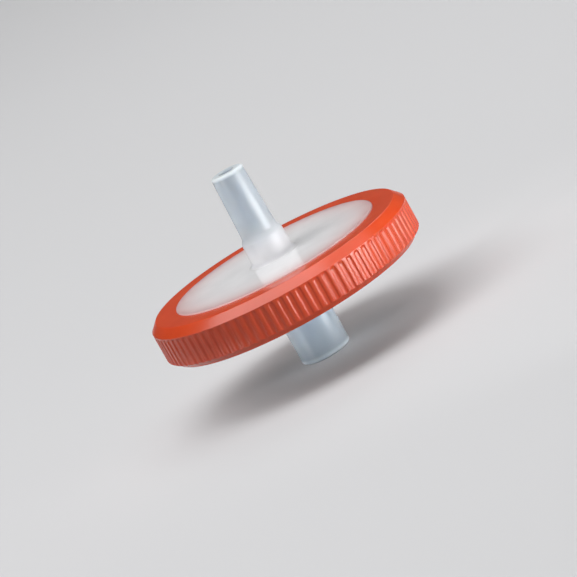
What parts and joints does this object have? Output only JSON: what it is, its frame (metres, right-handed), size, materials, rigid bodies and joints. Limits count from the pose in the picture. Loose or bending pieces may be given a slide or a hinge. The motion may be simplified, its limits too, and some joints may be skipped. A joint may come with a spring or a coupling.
{
  "type": "syringe filter",
  "caption": "Disc-shaped syringe filter with a fluted grip ring moulded round two translucent housings, a female Luer inlet below and a male Luer slip outlet above.",
  "frame": {"origin": "middle of the inlet tube's end face, on which the filter stands", "axes": "+Z along the flow axis from the female Luer inlet to the male Luer outlet tip; X and Y are equal by symmetry"},
  "size_m": [0.0324, 0.0324, 0.0238],
  "materials": {
    "natural_polypropylene": "translucent milky white, smooth moulded",
    "orange_polypropylene": "opaque orange-red, satin moulded",
    "membrane": "matt white porous sheet"
  },
  "bodies": {
    "root": {"inlet_housing": "natural_polypropylene", "outlet_housing": "natural_polypropylene", "filter_membrane": "membrane", "grip_ring": "orange_polypropylene"}
  },
  "joints": []
}
